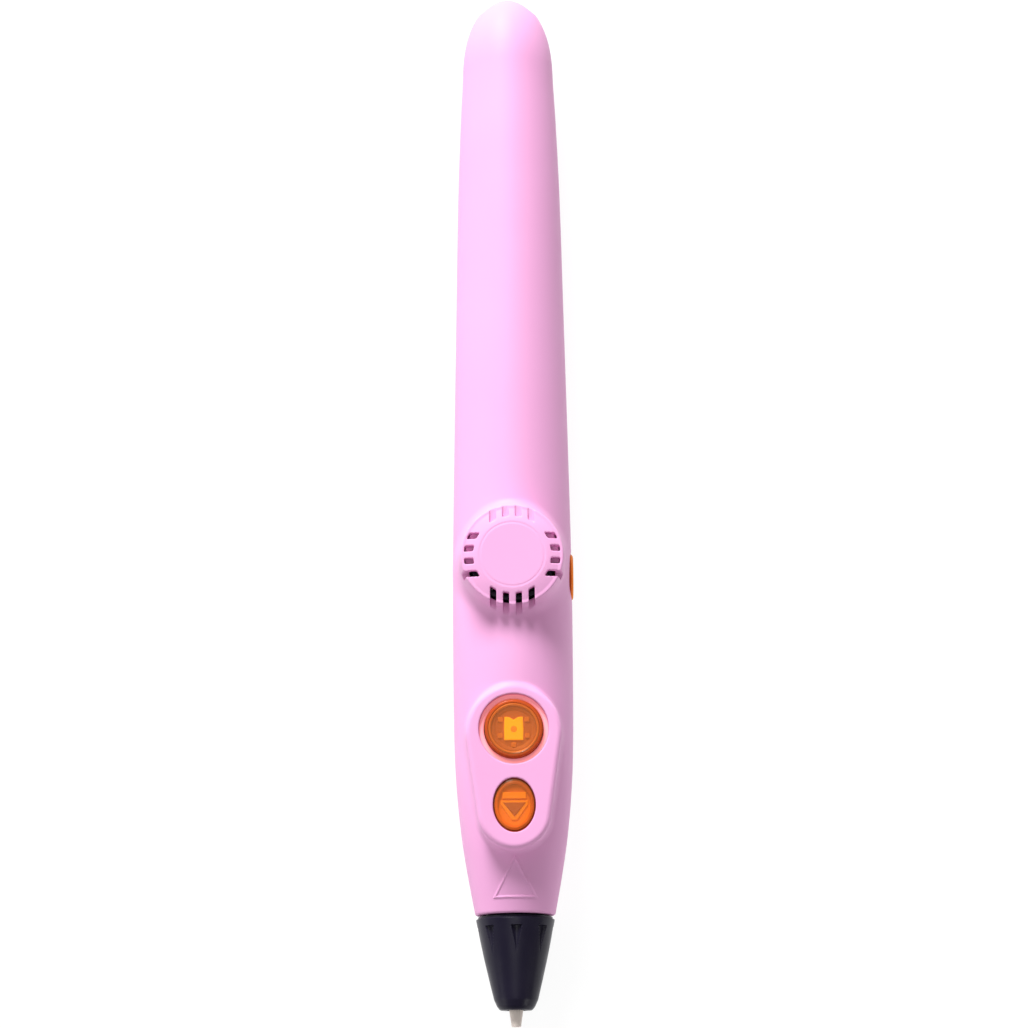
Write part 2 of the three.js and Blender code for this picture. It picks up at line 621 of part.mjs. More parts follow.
function buildLeads(group) {
  for (const [name, route] of Object.entries(LEAD_ROUTES)) {
    const color = LEAD_COLORS[name.split("_").at(-1)] ?? LEAD_WHITE;
    part(group, name, strand(route, LEAD_RADIUS, route.length * 2, 3), paint(color, 0.6));
  }
}

// ---- Hot end, about its own axis ----
// Profiles are [radius, station].
const SHROUD_OUTSIDE = [
  [2.65, 2.4], [3.15, 3], [3.6, 4.1], [5.23, 10.8], [6.5, 16.9], [6.55, 17.3], [6.3, 17.4], [6.2, 17.7],
];
const SHROUD_INSIDE = [[5.1, 17.7], [5, 15], [2.3, 4], [1.6, 3.6], [1.6, 2.4]];

// The cover's grip: eight scoops that fade towards the tip.
function nozzleShroud() {
  const skin = solid(turned([...SHROUD_OUTSIDE, ...SHROUD_INSIDE, SHROUD_OUTSIDE[0]], "y", 32));
  const scoops = [];
  for (let i = 0; i < 8; i++) {
    const scoop = new THREE.CylinderGeometry(0.75, 0.15, 4.2, 6);
    scoop.rotateX(0.2).translate(0, 13.4, 6.2).rotateY((Math.PI * (i + 0.03)) / 4);
    scoops.push(solid(scoop));
  }
  return cut(skin, ...scoops);
}

function buildHotEnd(group) {
  part(group, "nozzle_shroud", nozzleShroud(), paint(CHARCOAL, 0.55));
  const tip = [
    [0.35, -0.3], [0.8, -0.3], [1.17, 2.4], [1.25, 4.2], [1.9, 4.9], [1.9, 8.6], [0.8, 8.6], [0.35, 6],
    [0.35, -0.3],
  ];
  part(group, "nozzle_tip", turned(tip, "y", 20), paint(CERAMIC, 0.6));
  part(group, "heater_core", pipe(1, 2.1, 8.9, 22, "y"), paint(CERAMIC, 0.5));
  part(group, "heater_sleeve", pipe(2.4, 3, 12.9, 21.6, "y"), paint(WHITE_PLASTIC, 0.7));
  const bead = turned([[0, 9.4], [0.4, 9.6], [0.55, 10.5], [0.4, 12], [0, 12.3]], "y", 12);
  part(group, "thermistor", bead.translate(0, 0, 2.9), paint(BRASS, 0.3));
  const collar = [
    [3.35, 14.6], [4.4, 14.6], [4.4, 17.9], [5, 18.2], [5, 24], [3.35, 24], [3.35, 14.6],
  ];
  part(group, "nozzle_collar", turned(collar, "y", 24), paint(0x3a3840, 0.5));
  part(group, "throat_tube", pipe(1.05, 1.4, 22.4, 35.4, "y", 20), paint(STEEL, 0.35, 1));
}

// ---- Fan, about its own axis ----
function fanCover(outerGrown) {
  const { radius, top, opening } = FAN;
  const outside = [
    [0, top + 0.15], [5.75, top], [5.95, top - 0.25], [7.3, top - 0.55], [8.4, top - 1.3],
    [radius - 0.15, top - 2.6], [radius, 13],
  ];
  const inside = [[opening + 0.15, 13], [opening + 0.15, 22.4], [7, 23.6], [5.5, 24.2], [0, 24.4]];
  const profile = [...outside, ...inside].reverse();
  const dome = solid(turned(profile, "z", 32).translate(0, along(FAN.station), 0));
  const slots = [];
  for (const offset of [-1.5, -0.5, 0.5, 1.5]) {
    for (let side = 0; side < 4; side++) {
      const low = side % 2 ? SLOT.lowAtSides : SLOT.lowAtEnds;
      const middle = offset * SLOT.pitch;
      const slot = boxBetween(
        [middle - SLOT.width / 2, SLOT.from, low],
        [middle + SLOT.width / 2, radius + 2, top + 2]);
      slots.push(solid(slot.rotateZ((side * Math.PI) / 2).translate(0, along(FAN.station), 0)));
    }
  }
  return cut(dome, outerGrown, ...slots);
}

function fanRotor() {
  const hub = solid(rod(2.3, 19.7, 22.8, "z", 20));
  const blades = [];
  for (let i = 0; i < 7; i++) {
    const blade = new THREE.BoxGeometry(4.1, 0.5, 3.1);
    blade.rotateX(0.7).translate(4, 0, 21.2).rotateZ((2 * Math.PI * i) / 7);
    blades.push(solid(blade));
  }
  return cut(joined(hub, ...blades), solid(rod(0.8, 19, 22, "z", 12)));
}

function fanFrame() {
  const ring = solid(pipe(6.5, 7.2, 17.6, 22.2, "z", 24));
  const spokes = [];
  for (let i = 0; i < 3; i++) {
    const spoke = boxBetween([1.5, -0.5, 17.6], [6.9, 0.5, 18.4]);
    spokes.push(solid(spoke.rotateZ((2 * Math.PI * i) / 3)));
  }
  const cup = solid(rod(2.4, 17.6, 19, "z", 20));
  return cut(joined(ring, ...spokes, cup), solid(rod(0.7, 17, 20, "z", 12)));
}

function buildFan(group) {
  const place = (shape) => geometryOf(shape).translate(0, along(FAN.station), 0);
  const cover = fanCover(bodySolid(-GAP, 30, 2));
  part(group, "fan_cover", cover, paint(PINK, 0.5));
  part(group, "fan_frame", place(fanFrame()), paint(CHARCOAL, 0.5));
  part(group, "fan_rotor", place(fanRotor()), paint(CHARCOAL, 0.4));
  part(group, "fan_axle", rod(0.55, 17.7, 21.8, "z", 12).translate(0, along(FAN.station), 0),
    paint(STEEL, 0.3, 1));
}

// ---- The pen ----
const pen = new THREE.Group();

function assembly(build, x = 0, y = 0, z = 0) {
  const group = new THREE.Group();
  group.position.set(x, y, z);
  build(group);
  pen.add(group);
}

assembly(buildCasing);
assembly(buildButtons);
assembly(buildBoards);
assembly(buildCell);
assembly(buildMotor);
assembly(buildFeeder);
assembly(buildGuide);
assembly(buildLeads);
assembly(buildHotEnd, 0, -LENGTH / 2, NOZZLE_Z);
assembly(buildFan);

export default pen;
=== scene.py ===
"""The looks of a 3-D printing pen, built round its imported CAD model.

Shapes are worked out in millimetres and stations, which are distances from the nozzle tip, and
become metres in the model's frame when a mesh is made.
"""
import json
import math

import bmesh
import bpy
import numpy as np
from mathutils import Matrix, Vector


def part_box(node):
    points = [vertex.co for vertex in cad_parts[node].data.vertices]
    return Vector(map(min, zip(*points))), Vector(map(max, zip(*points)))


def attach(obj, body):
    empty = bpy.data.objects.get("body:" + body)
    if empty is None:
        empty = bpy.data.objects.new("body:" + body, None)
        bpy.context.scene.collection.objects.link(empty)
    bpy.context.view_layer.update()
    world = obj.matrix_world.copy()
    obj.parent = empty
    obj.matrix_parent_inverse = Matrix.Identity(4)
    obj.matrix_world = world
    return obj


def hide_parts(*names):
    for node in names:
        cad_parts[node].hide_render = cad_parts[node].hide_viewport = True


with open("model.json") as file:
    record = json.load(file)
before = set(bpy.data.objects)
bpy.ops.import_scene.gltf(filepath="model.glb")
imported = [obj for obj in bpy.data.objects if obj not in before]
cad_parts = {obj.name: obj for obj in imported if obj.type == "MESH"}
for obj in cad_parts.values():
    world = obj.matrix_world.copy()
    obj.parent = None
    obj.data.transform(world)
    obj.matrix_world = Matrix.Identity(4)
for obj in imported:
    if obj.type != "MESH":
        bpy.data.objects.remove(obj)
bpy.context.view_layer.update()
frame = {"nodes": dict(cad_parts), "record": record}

MM = 0.001
NODES = frame["nodes"]

# ---- The body's lines, as the CAD model has them: [station, value] ----
LENGTH = 180.0
WALL = 1.6
BODY_START = 18.0
TAIL_START = 166.0
SOLID_TAIL = 176.1  # the shells are solid from here on
TAIL_FULLNESS = 2.2
PARTING_Z = 9.0
NOZZLE_Z = 8.0
HALF_WIDTH = [
    (18, 6.66), (24, 7.78), (30, 8.75), (37, 9.5), (44, 9.92), (56, 10.1), (76, 10.1),
    (99, 9.74), (121, 9.31), (143, 8.87), (157, 8.35), (166, 7.92), (180, 7.7),
]
FRONT_LINE = [
    (18, 14.85), (30, 18.1), (40, 20.1), (52, 21.5), (65, 22), (85, 22), (120, 20.9),
    (150, 19.4), (166, 18.3), (180, 17.4),
]
WIDEST_LINE = [(18, 8), (30, 8.7), (45, 9.6), (60, 10), (150, 10), (166, 9.7), (180, 9.4)]
BACK_LINE = [(18, 1.15), (24, 0.5), (30, 0.1), (40, -0.5), (150, -0.5), (166, 0.2), (180, 1.4)]
BACK_SQUARENESS = [(18, 2), (40, 2.5), (150, 2.5), (180, 2.2)]
ISLAND_TOP, ISLAND_SLOPE = 21.1, 0.045
ISLAND_UPPER, ISLAND_UPPER_RADIUS = 47.0, 7.95
ISLAND_LOWER, ISLAND_LOWER_RADIUS = 33.8, 6.05


def middle(node):
    """A CAD node's middle as (x, station, z), in millimetres."""
    low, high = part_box(node)
    centre = (low + high) / 2 / MM
    return centre.x, centre.y + LENGTH / 2, centre.z


def width(node):
    """A CAD node's width, in millimetres."""
    low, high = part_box(node)
    return ((high - low) / MM).x


SCREWS = [middle(f"case_screw_{i}") for i in (1, 2, 3, 4)]
SCREW_HOLE, SCREW_HEAD, SCREW_BOSS = 0.9, 1.9, 2.3
INLET_AT, INLET_RADIUS = middle("inlet_ferrule"), width("inlet_ferrule") / 2
USB_AT, USB_HALF = middle("usb_socket"), (4.7, 1.8)

FEED_AT, FEED_TOP = middle("feed_button"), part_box("feed_button")[1].z / MM
FEED_CAP_RADIUS, FEED_WELL_RADIUS, FEED_WELL_FLOOR = 4.88, 5.75, 20.95
RETRACT_AT, RETRACT_TOP = middle("retract_button"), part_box("retract_button")[1].z / MM
RETRACT_HALF, RETRACT_HOLE_HALF = (3.35, 4.25), (3.52, 4.44)
SIDE_AT, SIDE_TOP = middle("side_button"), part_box("side_button")[1].x / MM
SIDE_RADIUS = 4.05

FAN_AT, FAN_TOP = middle("fan_cover"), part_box("fan_cover")[1].z / MM
DISC_RADIUS = 5.38
SKIRT_RADIUS, SKIRT_FLARE, SKIRT_FROM, SKIRT_RISE = 8.5, 0.45, 20.5, 4.3
VENT_FLOOR, VENT_CEILING, VENT_INSIDE = 14, 24.1, 7.6
SLOT_PITCH, SLOT_WIDTH, SLOT_FROM = 2.12, 1.02, 6.45
BAFFLE_INNER, BAFFLE_OUTER, BAFFLE_FOOT, BAFFLE_CREST = 6.2, 7.8, 22.4, 23.5

# A plain triangle outline on the nose.
MARK_BASE, MARK_APEX, MARK_LEAN = 20.5, 26.8, math.radians(28)


# ---- Distance fields: negative inside, in millimetres ----
def smooth(points, station):
    """A smooth curve through [station, value] points, flat past both ends."""
    at, value = np.array(points, float).T
    slope = np.empty_like(at)
    slope[1:-1] = (value[2:] - value[:-2]) / (at[2:] - at[:-2])
    slope[0] = (value[1] - value[0]) / (at[1] - at[0])
    slope[-1] = (value[-1] - value[-2]) / (at[-1] - at[-2])
    s = np.clip(station, at[0], at[-1])
    i = np.clip(np.searchsorted(at, s, side="right") - 1, 0, len(at) - 2)
    step = at[i + 1] - at[i]
    t = (s - at[i]) / step
    ease = t * t * (3 - 2 * t)
    bend = slope[i] * t * (1 - t) ** 2 - slope[i + 1] * t * t * (1 - t)
    return value[i] + (value[i + 1] - value[i]) * ease + step * bend


def round_max(a, b, radius):
    """The overlap of two solids, its edge rounded to radius."""
    u, v = a + radius, b + radius
    corner = np.hypot(np.maximum(u, 0), np.maximum(v, 0))
    return corner + np.minimum(np.maximum(u, v), 0) - radius


def round_min(a, b, radius):
    """Two solids joined, with a fillet of that radius between them."""
    return -round_max(-a, -b, radius)


def cut(solid, tool, radius=0.15):
    """A solid less a tool, the edge it leaves rounded to radius."""
    return round_max(solid, -tool, radius)


def body_share(x, s, z):
    """How far out a point is in its section: below zero inside the body, zero on the skin."""
    past = np.clip((s - TAIL_START) / (LENGTH - TAIL_START), 0, None)
    shrink = np.sqrt(np.maximum(1 - past ** TAIL_FULLNESS, 1e-4))
    half = smooth(HALF_WIDTH, s) * shrink
    level = smooth(WIDEST_LINE, s)
    front = (smooth(FRONT_LINE, s) - level) * shrink
    back = (level - smooth(BACK_LINE, s)) * shrink
    power = smooth(BACK_SQUARENESS, s)
    across = np.abs(x) / half
    above = np.hypot(across, np.maximum(z - level, 0) / front)
    under = np.maximum(level - z, 0) / back
    below = (across ** power + under ** power) ** (1 / power)
    return np.where(z >= level, above, below) - 1


def body(x, s, z):
    """Distance to the body's skin, from its share and how fast that changes."""
    h = 0.05
    gx = body_share(x + h, s, z) - body_share(x - h, s, z)
    gs = body_share(x, s + h, z) - body_share(x, s - h, z)
    gz = body_share(x, s, z + h) - body_share(x, s, z - h)
    steep = np.sqrt(gx * gx + gs * gs + gz * gz) / (2 * h)
    return body_share(x, s, z) / np.maximum(steep, 1e-3)


def teardrop(x, s):
    """Distance to the island's outline: two arcs joined by their common tangents."""
    height = ISLAND_UPPER - ISLAND_LOWER
    lean = (ISLAND_LOWER_RADIUS - ISLAND_UPPER_RADIUS) / height
    along = math.sqrt(1 - lean * lean)
    px, py = np.abs(x), s - ISLAND_LOWER
    k = -lean * px + along * py
    lower = np.hypot(px, py) - ISLAND_LOWER_RADIUS
    upper = np.hypot(px, py - height) - ISLAND_UPPER_RADIUS
    side = px * along + py * lean - ISLAND_LOWER_RADIUS
    return np.where(k < 0, lower, np.where(k > along * height, upper, side))


def island_top(s):
    """Height of the island's top, which rises towards the tail."""
    return ISLAND_TOP + ISLAND_SLOPE * (s - ISLAND_LOWER)


def disc(x, s, centre, radius):
    return np.hypot(x - centre[0], s - centre[1]) - radius


def oval(x, s, centre, half_x, half_s):
    share = np.hypot((x - centre[0]) / half_x, (s - centre[1]) / half_s)
    return (share - 1) * min(half_x, half_s)


def triangle_line(x, s):
    """Distance to the line of the triangle outline on the nose."""
    flank = np.abs(x) * math.cos(MARK_LEAN) + (s - MARK_APEX) * math.sin(MARK_LEAN)
    return np.abs(np.maximum(flank, MARK_BASE - s))


def side_hole(s, z):
    """Distance to the side button's hole."""
    return np.hypot(s - SIDE_AT[1], z - SIDE_AT[2]) - SIDE_RADIUS - 0.16


def vent_drum(x, s, z):
    """The fan housing: a flat plate with a disc on it over a flared skirt."""
    out = np.hypot(x - FAN_AT[0], s - FAN_AT[1])
    skirt = SKIRT_RADIUS + SKIRT_FLARE * (1 - np.clip((z - SKIRT_FROM) / SKIRT_RISE, 0, 1) ** 1.5)
    plate = FAN_TOP - 0.2 - 0.6 * np.clip((out - DISC_RADIUS) / 2.5, 0, 1) ** 1.3
    groove = 0.08 * np.clip((0.17 - np.abs(out - DISC_RADIUS)) / 0.12, 0, 1)
    return np.maximum(round_max((out - skirt) * 0.95, z - plate, 0.25), z - plate + groove)


def open_vent(shell, x, s, z):
    """Hollows the housing, cuts its slots and stands a baffle behind them."""
    across, along = x - FAN_AT[0], s - FAN_AT[1]
    out = np.hypot(across, along)
    hollow = round_max(out - VENT_INSIDE, z - VENT_CEILING, 0.6)
    shell = cut(shell, np.maximum(hollow, VENT_FLOOR - z), 0.1)
    lowest_ends, lowest_flanks = 22.1 + 2.6 * (along > 0), 21.7
    for offset in (-1.5, -0.5, 0.5, 1.5):
        for one, low in ((across, lowest_ends), (along, lowest_flanks)):
            gap = np.abs(one - offset * SLOT_PITCH) - SLOT_WIDTH / 2
            side = np.abs(one) - out * 0.72
            rim = 12 if one is across or offset < -1 else 8.0
            reach = np.maximum(np.maximum(SLOT_FROM - out, side), np.maximum(low - z, out - rim))
            shell = cut(shell, round_max(gap, reach, 0.25), 0.1)
    towards_nozzle = np.clip(-along / np.maximum(out, 1) / 0.6, 0, 1)
    crest = BAFFLE_CREST - 2.4 * towards_nozzle + 0.08 * (out - BAFFLE_INNER)
    ring = np.maximum(BAFFLE_INNER - out, out - BAFFLE_OUTER)
    return np.minimum(shell, np.maximum(ring, np.maximum(BAFFLE_FOOT - z, z - crest)))


def front_shell_field(x, s, z):
    """The front shell with its island and vent, open for the buttons and the port."""
    skin = body(x, s, z)
    raised = round_max(teardrop(x, s), z - island_top(s), 0.9)
    whole = round_min(skin, raised, 0.7)
    whole = round_min(whole, vent_drum(x, s, z), 1.5)
    line = 0.14 * np.clip((0.24 - triangle_line(x, s)) / 0.16, 0, 1)
    whole = whole - line * (z > 12)
    hollow = np.minimum(skin + WALL, np.maximum(teardrop(x, s) + WALL, z - island_top(s) + WALL))
    shell = np.maximum(whole, -np.maximum(hollow, s - SOLID_TAIL))
    shell = round_max(shell, BODY_START - s, 0.3)
    well = np.maximum(disc(x, s, FEED_AT, FEED_WELL_RADIUS), FEED_WELL_FLOOR - z)
    shell = cut(shell, well, 0.22)
    shell = cut(shell, disc(x, s, FEED_AT, FEED_CAP_RADIUS + 0.34))
    shell = cut(shell, np.maximum(oval(x, s, RETRACT_AT, *RETRACT_HOLE_HALF), 15 - z))
    shell = open_vent(shell, x, s, z)
    shell = cut(shell, np.maximum(side_hole(s, z), 5 - x), 0.3)
    mouth = round_max(np.abs(x) - USB_HALF[0], np.abs(z - USB_AT[2]) - USB_HALF[1], 1.7)
    shell = cut(shell, np.maximum(mouth, 170 - s), 0.3)
    return round_max(shell, PARTING_Z + 0.04 - z, 0.16)


def rear_shell_field(x, s, z):
    """The rear shell with its screw bosses, open for the screws and the filament inlet."""
    skin = body(x, s, z)
    hollow = np.maximum(np.maximum(skin + WALL, WALL - z), s - SOLID_TAIL)
    shell = np.maximum(round_max(skin, -z, 0.3), -hollow)
    for at in SCREWS:
        boss = np.maximum(disc(x, s, at, SCREW_BOSS), np.maximum(skin, -z) + 0.4)
        shell = np.minimum(shell, boss)
    for at in SCREWS:
        shell = cut(shell, np.maximum(disc(x, s, at, SCREW_HEAD), z - 3), 0.18)
        shell = cut(shell, disc(x, s, at, SCREW_HOLE), 0.05)
    shell = round_max(shell, BODY_START - s, 0.3)
    shell = cut(shell, np.maximum(side_hole(s, z), 5 - x), 0.3)
    inlet = np.hypot(x, z - INLET_AT[2]) - INLET_RADIUS - 0.12
    shell = cut(shell, np.maximum(inlet, 168 - s), 0.2)
    return round_max(shell, z - PARTING_Z + 0.04, 0.16)


# ---- A mesh from a field ----
def spaced(*stretches):
    """Grid coordinates through stretches of (end, step), the first of which is (start, None)."""
    values = [stretches[0][0]]
    for end, step in stretches[1:]:
        count = max(1, round((end - values[-1]) / step))
        values += list(np.linspace(values[-1], end, count + 1)[1:])
    return np.array(values, float)


def cell_points(values, axes):
    """One point in each grid cell that the surface passes, the mean of its edge crossings."""
    shape = tuple(n - 1 for n in values.shape)
    total = np.zeros(shape + (3,), np.float32)
    count = np.zeros(shape, np.float32)
    for axis in range(3):
        a = np.take(values, range(values.shape[axis] - 1), axis)
        b = np.take(values, range(1, values.shape[axis]), axis)
        crossed = (a < 0) != (b < 0)
        index = np.argwhere(crossed)
        share = (a[crossed] / (a[crossed] - b[crossed]))[:, None]
        low = np.stack([axes[k][index[:, k]] for k in range(3)], 1)
        step = np.zeros_like(low)
        step[:, axis] = np.diff(axes[axis])[index[:, axis]]
        point = low + step * share
        others = [k for k in range(3) if k != axis]
        for da in (0, 1):
            for db in (0, 1):
                cell = index.copy()
                cell[:, others[0]] -= da
                cell[:, others[1]] -= db
                fits = np.all((cell >= 0) & (cell < shape), 1)
                where = tuple(cell[fits].T)
                np.add.at(total, where, point[fits])
                np.add.at(count, where, 1)
    return total, count


def net_faces(values, numbers):
    """A quad round every grid edge that the surface crosses, facing out."""
    faces = []
    for axis in range(3):
        a = np.take(values, range(values.shape[axis] - 1), axis)
        b = np.take(values, range(1, values.shape[axis]), axis)
        crossed = (a < 0) != (b < 0)
        index = np.argwhere(crossed)
        u, v = (axis + 1) % 3, (axis + 2) % 3
        inside_first = (a < 0)[crossed]
        corners = []
        for du, dv in ((1, 1), (0, 1), (0, 0), (1, 0)):
            cell = index.copy()
            cell[:, u] -= du
            cell[:, v] -= dv
            corners.append(cell)
        fits = np.all([np.all((c >= 0) & (c < numbers.shape), 1) for c in corners], 0)
        quad = np.stack([numbers[tuple(c[fits].T)] for c in corners], 1)
        outward = inside_first[fits]
        quad[~outward] = quad[~outward][:, ::-1]
        faces.append(quad)
    return np.concatenate(faces)


def settle(points, field, reach):
    """Moves points onto the field's zero surface."""
    h = 0.01
    for _ in range(3):
        x, s, z = points.T
        value = field(x, s, z)
        slope = np.stack([
            field(x + h, s, z) - field(x - h, s, z),
            field(x, s + h, z) - field(x, s - h, z),
            field(x, s, z + h) - field(x, s, z - h),
        ], 1) / (2 * h)
        steep = np.maximum((slope ** 2).sum(1), 0.05)
        move = -slope * (value / steep)[:, None]
        length = np.linalg.norm(move, axis=1)
        move *= np.minimum(1, reach / np.maximum(length, 1e-9))[:, None]
        points = points + move
    return points


def make_mesh(name, points, faces):
    """A mesh object in the model's frame from points as (x, station, z) in millimetres."""
    placed = np.array(points, float)
    placed[:, 1] -= LENGTH / 2
    mesh = bpy.data.meshes.new(name)
    mesh.from_pydata((placed * MM).tolist(), [], [list(map(int, f)) for f in faces])
    mesh.validate()
    mesh.polygons.foreach_set("use_smooth", [True] * len(mesh.polygons))
    mesh.update()
    obj = bpy.data.objects.new(name, mesh)
    bpy.context.scene.collection.objects.link(obj)
    return obj


def mesh_of(name, field, xs, ss, zs):
    """A mesh object of the surface where the field is zero, found on that grid."""
    grid = np.meshgrid(xs, ss, zs, indexing="ij", sparse=True)
    values = np.broadcast_to(field(*grid), (len(xs), len(ss), len(zs)))
    total, count = cell_points(values, (xs, ss, zs))
    used = count > 0
    points = total[used] / count[used][:, None]
    numbers = np.full(count.shape, -1)
    numbers[used] = np.arange(len(points))
    faces = net_faces(values, numbers)
    return make_mesh(name, settle(points, field, 0.12), faces)


def turned(name, profile, axis="z", centre=(0, 0, 0), steps=96, ratio=(1, 1)):
    """A turned piece from a closed profile of (radius, distance along the axis)."""
    radius, height = np.array(profile, float).T
    angle = np.linspace(0, 2 * math.pi, steps, endpoint=False)
    u = np.outer(radius, np.cos(angle)) * ratio[0]
    v = np.outer(radius, np.sin(angle)) * ratio[1]
    w = np.repeat(height[:, None], steps, 1)
    order = {"z": (u, v, w), "y": (v, w, u), "x": (w, u, v)}[axis]
    points = np.stack([part.ravel() for part in order], 1) + np.array(centre)
    faces = []
    rows = len(profile)
    for i in range(rows):
        j = (i + 1) % rows
        if radius[i] < 1e-6 and radius[j] < 1e-6:
            continue
        for k in range(steps):
            n = (k + 1) % steps
            quad = [i * steps + k, i * steps + n, j * steps + n, j * steps + k]
            faces.append(quad)
    obj = make_mesh(name, points, faces)
    tidy(obj)
    return obj


def tidy(obj):
    """Merges the points that coincide, turns all faces out and shades them smooth."""
    distance = 1e-7
    bm = bmesh.new()
    bm.from_mesh(obj.data)
    bmesh.ops.remove_doubles(bm, verts=bm.verts, dist=distance)
    bmesh.ops.dissolve_degenerate(bm, edges=bm.edges, dist=distance)
    bmesh.ops.recalc_face_normals(bm, faces=bm.faces)
    bm.to_mesh(obj.data)
    bm.free()
    obj.data.polygons.foreach_set("use_smooth", [True] * len(obj.data.polygons))


def rounded_square(x, y, half):
    """The outline of a small square with round corners."""
    r = half * 0.45
    points = []
    for i, (sx, sy) in enumerate(((1, 1), (-1, 1), (-1, -1), (1, -1))):
        points += arc((x + sx * (half - r), y + sy * (half - r)), r, 90 * i, 90 * i + 90, 4)
    return points


def prism(name, outline, station, low, high, bevel):
    """A plate with a flat outline, given about that station, its upper edge bevelled."""
    points, faces = [], []
    count = len(outline)
    centre = np.mean(outline, 0)
    for z, inward in ((low, 0), (high - bevel, 0), (high, bevel)):
        for x, y in outline:
            offset = np.array((x, y)) - centre
            share = 1 - inward / np.linalg.norm(offset)
            px, py = centre + offset * share
            points.append((px, station + py, z))
    for ring in (0, 1):
        for k in range(count):
            n = (k + 1) % count
            a, b = ring * count, (ring + 1) * count
            faces.append((a + k, a + n, b + n, b + k))
    faces += [list(range(count))[::-1], list(range(2 * count, 3 * count))]
    obj = make_mesh(name, points, faces)
    tidy(obj)
    crease(obj, 30)
    return obj


def arc(centre, radius, start, end, steps=6):
    """Points on a quarter or other arc of a profile, angles in degrees."""
    angles = np.radians(np.linspace(start, end, steps))
    return [(centre[0] + radius * math.cos(a), centre[1] + radius * math.sin(a)) for a in angles]


def crease(obj, degrees=35):
    """Keeps edges sharper than this crisp under smooth shading."""
    obj.data.set_sharp_from_angle(angle=math.radians(degrees))


# ---- Materials ----
class Nodes:
    """A material's node tree, with short calls for the nodes used here."""

    def __init__(self, name):
        self.material = bpy.data.materials.new(name)
        self.material.use_nodes = True
        self.tree = self.material.node_tree
        self.shader = self.tree.nodes["Principled BSDF"]
        self.output = self.tree.nodes["Material Output"]
        self.place = self.add("ShaderNodeTexCoord").outputs["Object"]

    def add(self, kind):
        return self.tree.nodes.new(kind)

    def link(self, a, b):
        self.tree.links.new(a, b)

    def noise(self, scale, detail=2.0, roughness=0.5, stretch=None):
        node = self.add("ShaderNodeTexNoise")
        node.inputs["Scale"].default_value = scale
        node.inputs["Detail"].default_value = detail
        node.inputs["Roughness"].default_value = roughness
        source = self.place
        if stretch:
            mapping = self.add("ShaderNodeMapping")
            mapping.inputs["Scale"].default_value = stretch
            self.link(source, mapping.inputs["Vector"])
            source = mapping.outputs["Vector"]
        self.link(source, node.inputs["Vector"])
        return node.outputs["Fac"]

    def ramp(self, value, stops):
        node = self.add("ShaderNodeValToRGB")
        elements = node.color_ramp.elements
        while len(elements) < len(stops):
            elements.new(0.5)
        for element, (position, colour) in zip(elements, stops):
            element.position = position
            element.color = (*colour, 1)
        self.link(value, node.inputs["Fac"])
        return node.outputs["Color"]

    def span(self, value, low, high, from_low=0.3, from_high=0.7):
        node = self.add("ShaderNodeMapRange")
        node.inputs["From Min"].default_value = from_low
        node.inputs["From Max"].default_value = from_high
        node.inputs["To Min"].default_value = low
        node.inputs["To Max"].default_value = high
        self.link(value, node.inputs["Value"])
        return node.outputs["Result"]

    def bump(self, value, strength, distance):
        node = self.add("ShaderNodeBump")
        node.inputs["Strength"].default_value = strength
        node.inputs["Distance"].default_value = distance
        self.link(value, node.inputs["Height"])
        self.link(node.outputs["Normal"], self.shader.inputs["Normal"])

    def set(self, **values):
        for key, value in values.items():
            self.shader.inputs[key.replace("_", " ")].default_value = value
        return self


def moulded(name, colour, shade, roughness=0.45, grain=9000, strength=0.12, **values):
    """Moulded plastic: a faint drift of colour, a fine grain and uneven gloss."""
    n = Nodes(name)
    drift = n.noise(55, 3)
    n.link(n.ramp(drift, [(0.3, shade), (0.7, colour)]), n.shader.inputs["Base Color"])
    n.link(n.span(n.noise(420, 2), roughness - 0.05, roughness + 0.05), n.shader.inputs["Roughness"])
    n.bump(n.noise(grain, 2), strength, 0.00003)
    return n.set(**values).material


def metal(name, colour, shade, roughness, brush=(1, 1, 1)):
    """Bare metal with fine streaks in its colour and gloss, drawn out as far as it is brushed."""
    n = Nodes(name)
    streak = n.noise(3000, 3, 0.6, stretch=brush)
    n.link(n.ramp(streak, [(0.3, shade), (0.7, colour)]), n.shader.inputs["Base Color"])
    n.link(n.span(streak, roughness - 0.08, roughness + 0.1), n.shader.inputs["Roughness"])
    n.bump(streak, 0.15, 0.00002)
    return n.set(Metallic=1.0).material


def tinted_clear(name, tint, scatter, through):
    """Clear tinted plastic: most of the light passes, some scatters, with a gloss on top."""
    n = Nodes(name)
    haze = n.noise(900, 3)
    brighter = tuple(1.15 * c for c in scatter)
    n.link(n.ramp(haze, [(0.25, scatter), (0.75, brighter)]), n.shader.inputs["Base Color"])
    n.link(n.span(haze, 0.14, 0.24), n.shader.inputs["Roughness"])
    n.bump(n.noise(5000, 2), 0.05, 0.00002)
    n.set(IOR=1.49)
    clear = n.add("ShaderNodeBsdfTransparent")
    clear.inputs["Color"].default_value = (*tint, 1)
    mix = n.add("ShaderNodeMixShader")
    mix.inputs["Fac"].default_value = through
    n.link(n.shader.outputs["BSDF"], mix.inputs[1])
    n.link(clear.outputs["BSDF"], mix.inputs[2])
    n.link(mix.outputs["Shader"], n.output.inputs["Surface"])
    return n.material


